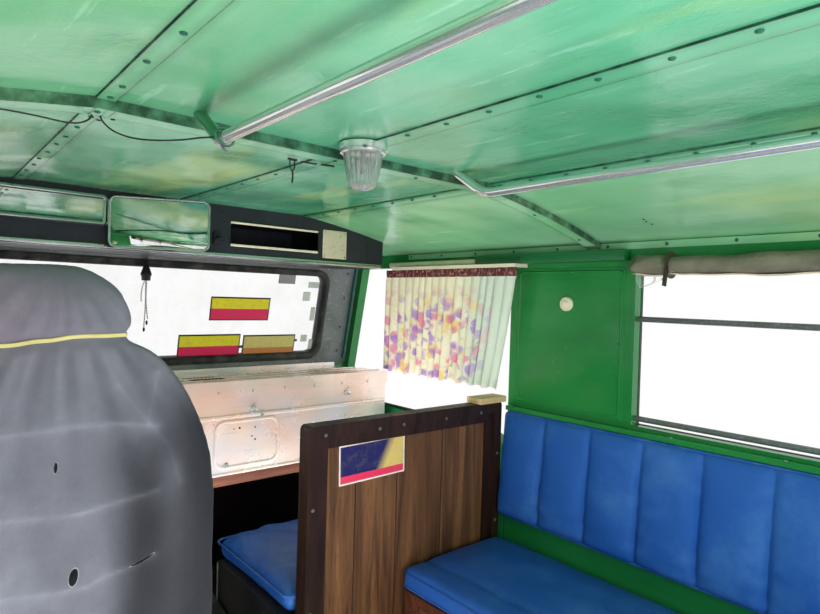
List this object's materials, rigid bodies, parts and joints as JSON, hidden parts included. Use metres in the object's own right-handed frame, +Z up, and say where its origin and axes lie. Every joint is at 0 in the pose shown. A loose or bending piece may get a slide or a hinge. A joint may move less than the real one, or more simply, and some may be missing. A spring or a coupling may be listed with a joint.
{
  "type": "jeepney cabin",
  "caption": "Open-sided passenger cabin of a jeepney, with lengthwise benches, a green sheet ceiling with grab rails, hinged half doors and a steering wheel.",
  "frame": {"origin": "under the middle of the cabin's bounding box, at the underside of the floor sills", "axes": "+X forwards, +Y to the cabin's left, +Z up"},
  "size_m": [4.5, 1.774, 1.45],
  "materials": {
    "green_ceiling": "gloss emerald paint, uneven",
    "green_body": "gloss green paint",
    "roof_paint": "weathered off-white paint",
    "black_frame": "satin black paint",
    "grey_pillar": "weathered grey paint",
    "dark_console": "dark vinyl over board",
    "polished": "polished tube",
    "dash_metal": "polished sheet",
    "lamp_glass": "ribbed clear glass",
    "screen_glass": "clear glass",
    "mirror_glass": "mirror in a thin metal frame",
    "dark_wood": "dark stained wood",
    "plank_wood": "orange-brown planks",
    "grey_cover": "creased dark vinyl cover",
    "blue_vinyl": "blue vinyl",
    "curtain_cloth": "printed pleated cloth",
    "tarpaulin": "rolled canvas",
    "grey_steel": "grey paint",
    "black_rubber": "black",
    "floor_metal": "worn chequer sheet",
    "cream_paint": "cream paint",
    "zinc": "zinc plated"
  },
  "bodies": {
    "cabin": {"floor_pan": "floor_metal", "floor_bearers": "grey_steel", "floor_sills": "grey_steel", "left_side_panel": "green_body", "right_side_panel": "green_body", "left_window_frame": "green_body", "right_window_frame": "green_body", "roof_shell": "roof_paint", "ceiling_sheets": "green_ceiling", "ceiling_strips": "green_ceiling", "roof_bows": "green_ceiling", "left_rail_elbow": "green_ceiling", "grab_rails": "polished", "dome_lamp_base": "polished", "dome_lamp_lens": "lamp_glass", "overhead_console": "dark_console", "console_mirror": "mirror_glass", "windscreen_frame": "grey_pillar", "windscreen_glass": "screen_glass", "cowl": "green_body", "dashboard": "dash_metal", "steering_column": "black_frame", "gearbox_cover": "black_rubber", "pedals": "black_rubber", "driver_seat_back": "grey_cover", "driver_seat_cushion": "grey_cover", "seat_bases": "black_frame", "front_bench_cushion": "blue_vinyl", "partition_frame": "dark_wood", "partition_panel": "plank_wood", "bench_boxes": "dark_wood", "bench_cushions": "blue_vinyl", "bench_backrests": "blue_vinyl", "wheel_houses": "black_frame", "door_curtain": "curtain_cloth", "curtain_rail": "cream_paint", "rolled_side_curtains": "tarpaulin", "window_guard_bars": "grey_steel", "door_hinges": "zinc", "rear_wall": "green_body", "rear_step": "floor_metal", "rail_wire": "black_rubber", "bow_wire": "black_rubber"},
    "left_door": {"left_door": "green_body"},
    "right_door": {"right_door": "green_body"},
    "steering": {"steering_wheel": "black_rubber"},
    "mirror": {"rear_view_mirror": "mirror_glass"}
  },
  "joints": [
    {"name": "left_door_hinge", "type": "hinge", "parent": "cabin", "child": "left_door", "pos_m": [1.962, 0.877, 0.445], "axis": [0, 0, -1], "range_deg": [0, 75]},
    {"name": "right_door_hinge", "type": "hinge", "parent": "cabin", "child": "right_door", "pos_m": [1.962, -0.877, 0.445], "axis": [0, 0, 1], "range_deg": [0, 75]},
    {"name": "steering_turn", "type": "hinge", "parent": "cabin", "child": "steering", "pos_m": [1.48, 0.425, 0.895], "axis": [0.848, 0, -0.5299], "range_deg": [-540, 540]},
    {"name": "mirror_swivel", "type": "hinge", "parent": "cabin", "child": "mirror", "pos_m": [1.606, 0.07, 1.323], "axis": [0, 0, 1], "range_deg": [-7, 40]}
  ]
}
